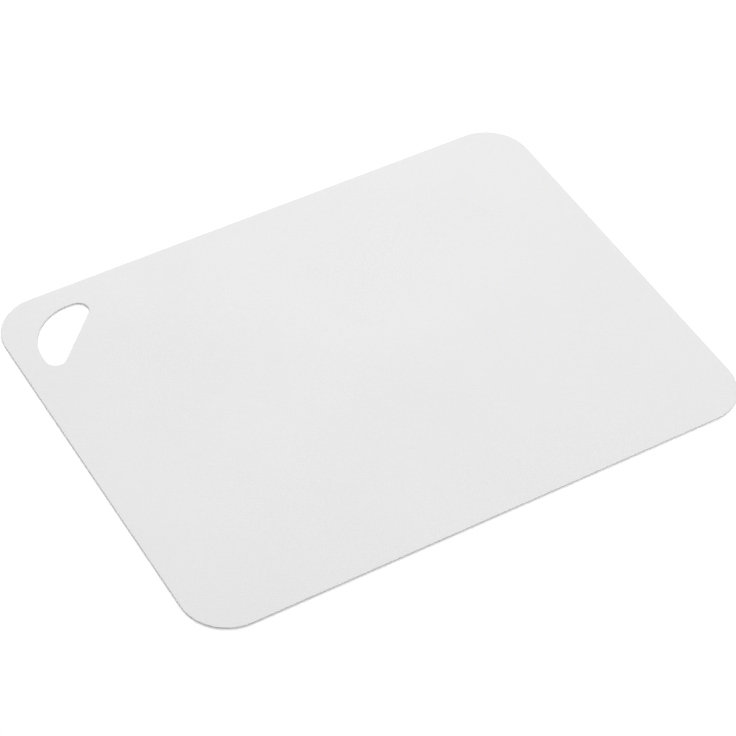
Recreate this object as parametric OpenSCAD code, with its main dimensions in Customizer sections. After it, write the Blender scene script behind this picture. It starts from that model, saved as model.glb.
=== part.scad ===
// Flexible cutting mat: one die-cut plastic sheet with a D-shaped hand hole in a corner.
// Lengths are in millimetres. The sheet lies flat with the middle of its underside at the origin
// and its long sides along X. The hand hole is in the left back corner, set on its diagonal.

/* [Sheet] */
// Length of the long sides
sheet_l = 380; // [260:1:500]
// Length of the short sides
sheet_w = 290; // [200:1:380]
// Thickness of the sheet
sheet_t = 1.2; // [0.8:0.1:3]
// Radius of the four rounded corners
corner_r = 30; // [5:1:45]
// Radius that breaks the cut edge on both faces, round the outside and round the hand hole
edge_r = 0.3; // [0.1:0.05:0.35]

/* [Hand hole] */
// Width of the sheet left between the rounded corner and the hole, along the diagonal
hole_web = 24; // [14:1:40]
// Opening of the hole along the diagonal, from the middle of its bow to its straight side
hole_depth = 24; // [18:1:36]
// Radius of the bow, which is the side of the hole that faces the corner
bow_r = 32.8; // [28:0.1:50]
// Radius of the two round ends that join the bow to the straight side
end_r = 6.8; // [4:0.1:8]

/* [Hidden] */
$fn = 96;

// How far a cutter runs past the face that it cuts through
over = 1;

// Where the hole's straight side crosses the diagonal, from the sharp corner of the sheet
hole_x = corner_r * (sqrt(2) - 1) + hole_web + hole_depth;

// Places in the hole's own plan: the middle of its straight side is the origin, x runs into the
// sheet along the diagonal and y runs along the straight side
bow_centre_x = bow_r - hole_depth;
end_centre_y = sqrt(pow(bow_r - end_r, 2) - pow(bow_centre_x + end_r, 2));

// A round end meets the bow on the line through both their centres, at this angle to the diagonal
seam_angle = atan2(end_centre_y, bow_centre_x + end_r);

// A length that reaches past the hole from any point in it
far = 2 * bow_r;

// Outline of the sheet: a rectangle with rounded corners
module sheet_outline() {
    square([sheet_l - 2 * corner_r, sheet_w], center = true);
    square([sheet_l, sheet_w - 2 * corner_r], center = true);
    for (x = [-1, 1], y = [-1, 1])
        translate([x * (sheet_l / 2 - corner_r), y * (sheet_w / 2 - corner_r)])
            circle(corner_r);
}

// Moves what is laid out in the hole's own plan to the left back corner of the sheet
module in_hole_corner() {
    translate([-sheet_l / 2, sheet_w / 2, 0])
        rotate([0, 0, -45])
            translate([hole_x, 0, 0])
                children();
}

// Moves to the centre of the round end on the +Y side, by a whole step and the rest of the way,
// which keeps the place exact enough for the end and the bow to meet without a gap
module at_end_centre() {
    step = round(end_centre_y);
    translate([-end_r, step, 0])
        translate([0, end_centre_y - step, 0])
            children();
}

// The part of the plan in which the round end on the +Y side is the edge of the hole
module end_sector() {
    at_end_centre()
        polygon([
            [0, 0],
            [-far * cos(seam_angle), far * sin(seam_angle)],
            [far, far * sin(seam_angle)],
            [far, 0]
        ]);
}

// Repeats what is given for the +Y side on the other side of the diagonal
module on_both_sides() {
    children();
    mirror([0, 1, 0])
        children();
}

// Outline of the hole: the bow, two round ends and the straight side, each tangent to the next
module hole_outline() {
    difference() {
        intersection() {
            translate([bow_centre_x, 0])
                circle(bow_r);
            translate([-far, -far])
                square([far, 2 * far]);
        }
        on_both_sides()
            end_sector();
    }
    on_both_sides()
        intersection() {
            at_end_centre()
                circle(end_r);
            end_sector();
        }
}

// Section of what is cut off to round an edge: x runs out from the wall, y up from the face
module edge_section() {
    difference() {
        translate([-edge_r, -edge_r])
            square(edge_r + over);
        translate([-edge_r, -edge_r])
            circle(edge_r);
    }
}

// Rounds a straight edge that runs from the origin along +Y, with the sheet on its -X side
module straight_edge_cut(length) {
    translate([0, length, sheet_t])
        rotate([90, 0, 0])
            linear_extrude(length)
                edge_section();
}

// Rounds a corner of the sheet, in the quarter between +X and +Y round the corner's centre
module corner_edge_cut() {
    translate([0, 0, sheet_t])
        rotate_extrude(angle = 90)
            translate([corner_r, 0])
                edge_section();
}

// Rounds the whole edge of a round hole, of which only the stretch that is wanted is kept
module round_hole_edge_cut(radius) {
    translate([0, 0, sheet_t])
        rotate_extrude()
            translate([radius, 0])
                mirror([1, 0])
                    edge_section();
}

// Rounds the outside of the sheet: each half turn takes a short side, a long side and two corners
module outside_edge_cut() {
    for (turn = [0, 180])
        rotate([0, 0, turn]) {
            translate([sheet_l / 2, corner_r - sheet_w / 2, 0])
                straight_edge_cut(sheet_w - 2 * corner_r);
            translate([sheet_l / 2 - corner_r, sheet_w / 2 - corner_r, 0])
                corner_edge_cut();
            translate([sheet_l / 2 - corner_r, sheet_w / 2, 0])
                rotate([0, 0, 90])
                    straight_edge_cut(sheet_l - 2 * corner_r);
            translate([corner_r - sheet_l / 2, sheet_w / 2 - corner_r, 0])
                rotate([0, 0, 90])
                    corner_edge_cut();
        }
}

// The round ends' parts of the plan as blocks, taller than any cutter of the upper face
module end_sector_blocks() {
    on_both_sides()
        linear_extrude(sheet_t + 2 * over)
            end_sector();
}

// Rounds the bow's stretch of the hole's edge
module bow_edge_cut() {
    difference() {
        intersection() {
            translate([bow_centre_x, 0, 0])
                round_hole_edge_cut(bow_r);
            translate([-far, -far, 0])
                cube([far, 2 * far, sheet_t + 2 * over]);
        }
        end_sector_blocks();
    }
}

// Rounds the two round ends' stretches of the hole's edge
module end_edge_cuts() {
    on_both_sides()
        intersection() {
            at_end_centre()
                round_hole_edge_cut(end_r);
            linear_extrude(sheet_t + 2 * over)
                end_sector();
        }
}

// Rounds the straight side's stretch of the hole's edge
module straight_side_edge_cut() {
    half_width = end_centre_y + end_r;
    difference() {
        translate([0, half_width, 0])
            rotate([0, 0, 180])
                straight_edge_cut(2 * half_width);
        end_sector_blocks();
    }
}

// Cuts both faces with what is given for the upper one
module on_both_faces() {
    children();
    translate([0, 0, sheet_t])
        mirror([0, 0, 1])
            children();
}

// The whole mat: one sheet with its hole punched and its cut edges broken
module cutting_sheet() {
    color("whitesmoke")
        difference() {
            linear_extrude(sheet_t)
                sheet_outline();
            in_hole_corner()
                translate([0, 0, -over])
                    linear_extrude(sheet_t + 2 * over)
                        hole_outline();
            on_both_faces()
                outside_edge_cut();
            on_both_faces()
                in_hole_corner() {
                    bow_edge_cut();
                    end_edge_cuts();
                    straight_side_edge_cut();
                }
        }
}

cutting_sheet();
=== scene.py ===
import math

import bpy
from mathutils import Matrix, Vector


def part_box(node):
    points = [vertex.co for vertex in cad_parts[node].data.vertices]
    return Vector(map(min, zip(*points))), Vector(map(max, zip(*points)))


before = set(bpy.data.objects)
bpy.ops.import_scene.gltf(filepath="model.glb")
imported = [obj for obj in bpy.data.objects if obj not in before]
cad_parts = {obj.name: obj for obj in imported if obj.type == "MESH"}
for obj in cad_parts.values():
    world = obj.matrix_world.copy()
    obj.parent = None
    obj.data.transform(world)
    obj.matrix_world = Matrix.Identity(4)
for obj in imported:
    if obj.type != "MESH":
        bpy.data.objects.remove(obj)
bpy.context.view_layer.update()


# Cutting sheet: one thin sheet of white plastic, rolled with a fine emboss while it is warm and
# then cut to its outline in one stroke. It lies loose on the worktop. The CAD solid has its true
# outline, hand hole and rounded edges, so it stays and only gets its finish.
MM = 0.001
sheet_white = (0.822, 0.822, 0.821, 1.0)
sheet_white_light = (0.838, 0.838, 0.837, 1.0)
plastic_ior = 1.49

# The emboss covers what faces this squarely up or down. Its pitch is the length of one wave, and
# its dots stand a little further apart, by 1 / cos(30)
embossed_face_min_z = 0.995
emboss_pitch = 1.45 * MM
emboss_depth = 0.045 * MM

# Noise scales are in cells per metre
cloud_scale = 9.0
cloud_detail = 3.0
roughness_low = 0.44
roughness_high = 0.56
cut_edge_smoothing = 0.12
grain_scale = 2600.0
grain_detail = 2.0
grain_strength = 0.35
grain_depth = 0.004 * MM

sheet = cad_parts["cutting_sheet"]


def new_group(name, inputs, outputs):
    group = bpy.data.node_groups.new(name, "ShaderNodeTree")
    for title, kind in inputs:
        group.interface.new_socket(name=title, in_out="INPUT", socket_type=kind)
    for title, kind in outputs:
        group.interface.new_socket(name=title, in_out="OUTPUT", socket_type=kind)
    return group


def math_node(tree, operation, *operands):
    node = tree.nodes.new("ShaderNodeMath")
    node.operation = operation
    for socket, operand in zip(node.inputs, operands):
        if isinstance(operand, (int, float)):
            socket.default_value = operand
        else:
            tree.links.new(operand, socket)
    return node.outputs[0]


def noise_node(tree, scale, detail, place):
    noise = tree.nodes.new("ShaderNodeTexNoise")
    noise.inputs["Scale"].default_value = scale
    noise.inputs["Detail"].default_value = detail
    tree.links.new(place, noise.inputs["Vector"])
    return noise.outputs["Fac"]


def emboss_group():
    """Staggered dots, as the sum of three equal waves whose directions are 60 degrees apart."""
    group = new_group(
        "staggered_emboss",
        [("Position", "NodeSocketVector"), ("Pitch", "NodeSocketFloat")],
        [("Height", "NodeSocketFloat")],
    )
    source = group.nodes.new("NodeGroupInput")
    result = group.nodes.new("NodeGroupOutput")
    turns = math_node(group, "DIVIDE", 2 * math.pi, source.outputs["Pitch"])
    total = None
    for degrees in (0, 60, 120):
        along = group.nodes.new("ShaderNodeVectorMath")
        along.operation = "DOT_PRODUCT"
        group.links.new(source.outputs["Position"], along.inputs[0])
        angle = math.radians(degrees)
        along.inputs[1].default_value = (math.cos(angle), math.sin(angle), 0.0)
        phase = math_node(group, "MULTIPLY", along.outputs["Value"], turns)
        wave = math_node(group, "COSINE", phase)
        total = wave if total is None else math_node(group, "ADD", total, wave)

    # The sum runs from its lowest to its highest value, and the height from 0 to 1
    lowest = -1.5
    highest = 3.0
    raised = math_node(group, "ADD", total, -lowest)
    height = math_node(group, "DIVIDE", raised, highest - lowest)
    group.links.new(height, result.inputs["Height"])
    return group


def sheet_finish():
    material = bpy.data.materials.new("embossed_white_polypropylene")
    material.use_nodes = True
    tree = material.node_tree
    nodes, links = tree.nodes, tree.links
    shader = nodes["Principled BSDF"]
    shader.inputs["IOR"].default_value = plastic_ior
    place = nodes.new("ShaderNodeTexCoord").outputs["Object"]

    # Both flat faces carry the emboss; the cut edge between them is bare and smoother
    surface = nodes.new("ShaderNodeNewGeometry")
    facing = nodes.new("ShaderNodeSeparateXYZ")
    links.new(surface.outputs["True Normal"], facing.inputs[0])
    up_or_down = math_node(tree, "ABSOLUTE", facing.outputs["Z"])
    flat = math_node(tree, "GREATER_THAN", up_or_down, embossed_face_min_z)
    emboss = nodes.new("ShaderNodeGroup")
    emboss.node_tree = emboss_group()
    emboss.inputs["Pitch"].default_value = emboss_pitch
    links.new(place, emboss.inputs["Position"])
    pattern = math_node(tree, "MULTIPLY", emboss.outputs["Height"], flat)

    # The plastic is a little uneven from place to place, in tone and in gloss
    cloud = noise_node(tree, cloud_scale, cloud_detail, place)
    tone = nodes.new("ShaderNodeMix")
    tone.data_type = "RGBA"
    tone.inputs["A"].default_value = sheet_white
    tone.inputs["B"].default_value = sheet_white_light
    links.new(cloud, tone.inputs["Factor"])
    links.new(tone.outputs["Result"], shader.inputs["Base Color"])

    face_roughness = nodes.new("ShaderNodeMapRange")
    face_roughness.inputs["To Min"].default_value = roughness_low
    face_roughness.inputs["To Max"].default_value = roughness_high
    links.new(cloud, face_roughness.inputs["Value"])
    cut_edge = math_node(tree, "SUBTRACT", 1.0, flat)
    smoothing = math_node(tree, "MULTIPLY", cut_edge, cut_edge_smoothing)
    roughness = math_node(tree, "SUBTRACT", face_roughness.outputs["Result"], smoothing)
    links.new(roughness, shader.inputs["Roughness"])

    # A very fine grain lies in the surface under the emboss
    grain_bump = nodes.new("ShaderNodeBump")
    grain_bump.inputs["Strength"].default_value = grain_strength
    grain_bump.inputs["Distance"].default_value = grain_depth
    grain = noise_node(tree, grain_scale, grain_detail, place)
    links.new(grain, grain_bump.inputs["Height"])
    emboss_bump = nodes.new("ShaderNodeBump")
    emboss_bump.inputs["Strength"].default_value = 1.0
    emboss_bump.inputs["Distance"].default_value = emboss_depth
    links.new(pattern, emboss_bump.inputs["Height"])
    links.new(grain_bump.outputs["Normal"], emboss_bump.inputs["Normal"])
    links.new(emboss_bump.outputs["Normal"], shader.inputs["Normal"])
    return material


sheet.data.materials.clear()
sheet.data.materials.append(sheet_finish())


# Worktop: a plain white surface that takes the sheet's thin contact shadow. It is lit like the
# sheet, and a little light of its own, seen only by the camera, in gloss and through clear
# things, carries it to clean white.
floor_size = 8.0
floor_tone = (0.90, 0.90, 0.90, 1.0)
floor_lift = 0.26


def floor_finish():
    material = bpy.data.materials.new("white_worktop")
    material.use_nodes = True
    tree = material.node_tree
    tree.nodes.clear()
    surface = tree.nodes.new("ShaderNodeBsdfDiffuse")
    surface.inputs["Color"].default_value = floor_tone
    rays = tree.nodes.new("ShaderNodeLightPath")
    seen = math_node(tree, "MAXIMUM", rays.outputs["Is Camera Ray"], rays.outputs["Is Glossy Ray"])
    seen = math_node(tree, "MAXIMUM", seen, rays.outputs["Is Transmission Ray"])
    lift = tree.nodes.new("ShaderNodeEmission")
    tree.links.new(math_node(tree, "MULTIPLY", seen, floor_lift), lift.inputs["Strength"])
    both = tree.nodes.new("ShaderNodeAddShader")
    tree.links.new(surface.outputs[0], both.inputs[0])
    tree.links.new(lift.outputs[0], both.inputs[1])
    output = tree.nodes.new("ShaderNodeOutputMaterial")
    tree.links.new(both.outputs[0], output.inputs["Surface"])
    return material


half = floor_size / 2
floor_mesh = bpy.data.meshes.new("worktop")
floor_mesh.from_pydata(
    [(-half, -half, 0), (half, -half, 0), (half, half, 0), (-half, half, 0)], [], [(0, 1, 2, 3)]
)
floor = bpy.data.objects.new("worktop", floor_mesh)
bpy.context.scene.collection.objects.link(floor)
floor_mesh.materials.append(floor_finish())


# Light: one soft key from behind and a little to the right, which leaves the sheet's left and
# near edges in shade, a wide soft light overhead, a weak low one beside the right end of the near
# edge, which brightens that edge towards its right end, and an even white surround.
def area_light(name, place, power, size):
    data = bpy.data.lights.new(name, "AREA")
    data.energy = power
    data.size = size
    lamp = bpy.data.objects.new(name, data)
    to_sheet = -Vector(place)
    turn = to_sheet.to_track_quat("-Z", "Y").to_matrix().to_4x4()
    lamp.matrix_world = Matrix.Translation(Vector(place)) @ turn
    lamp.visible_camera = False
    bpy.context.scene.collection.objects.link(lamp)


area_light("key", place=(1.50, 3.10, 3.60), power=132.0, size=1.8)
area_light("overhead", place=(-0.2, -0.3, 3.00), power=18.0, size=2.5)
area_light("near_side_fill", place=(0.75, -0.55, 0.28), power=1.6, size=0.4)

# The surround lights the sheet at this strength, and the camera sees it as plain white
surround = 0.31
world = bpy.data.worlds.new("studio")
bpy.context.scene.world = world
world.use_nodes = True
background = world.node_tree.nodes["Background"]
background.inputs["Color"].default_value = (1.0, 1.0, 1.0, 1.0)
world_rays = world.node_tree.nodes.new("ShaderNodeLightPath")
open_view = math_node(
    world.node_tree, "MULTIPLY", world_rays.outputs["Is Camera Ray"], 1.0 - surround
)
world.node_tree.links.new(
    math_node(world.node_tree, "ADD", open_view, surround), background.inputs["Strength"]
)


# Camera: the photograph's own view, from the left and in front of the sheet, 47 degrees above it,
# through a long lens. Its place, direction and lens come from the sheet's four fitted edges.
sheet_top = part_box("cutting_sheet")[1][2]
focal_pixels = 2694.0
frame_pixels = 736.0
camera_place = Vector((-0.6067, -0.9622, 1.2005 + sheet_top))
camera_direction = Vector((0.36564, 0.57942, -0.72841))
camera_roll = math.radians(2.523)

lens = bpy.data.cameras.new("camera")
lens.sensor_width = 36.0
lens.lens = lens.sensor_width * focal_pixels / frame_pixels
camera = bpy.data.objects.new("camera", lens)
aim = camera_direction.to_track_quat("-Z", "Y").to_matrix().to_4x4()
camera.matrix_world = Matrix.Translation(camera_place) @ aim @ Matrix.Rotation(camera_roll, 4, "Z")
bpy.context.scene.collection.objects.link(camera)
bpy.context.scene.camera = camera
bpy.context.scene.view_settings.view_transform = "Standard"
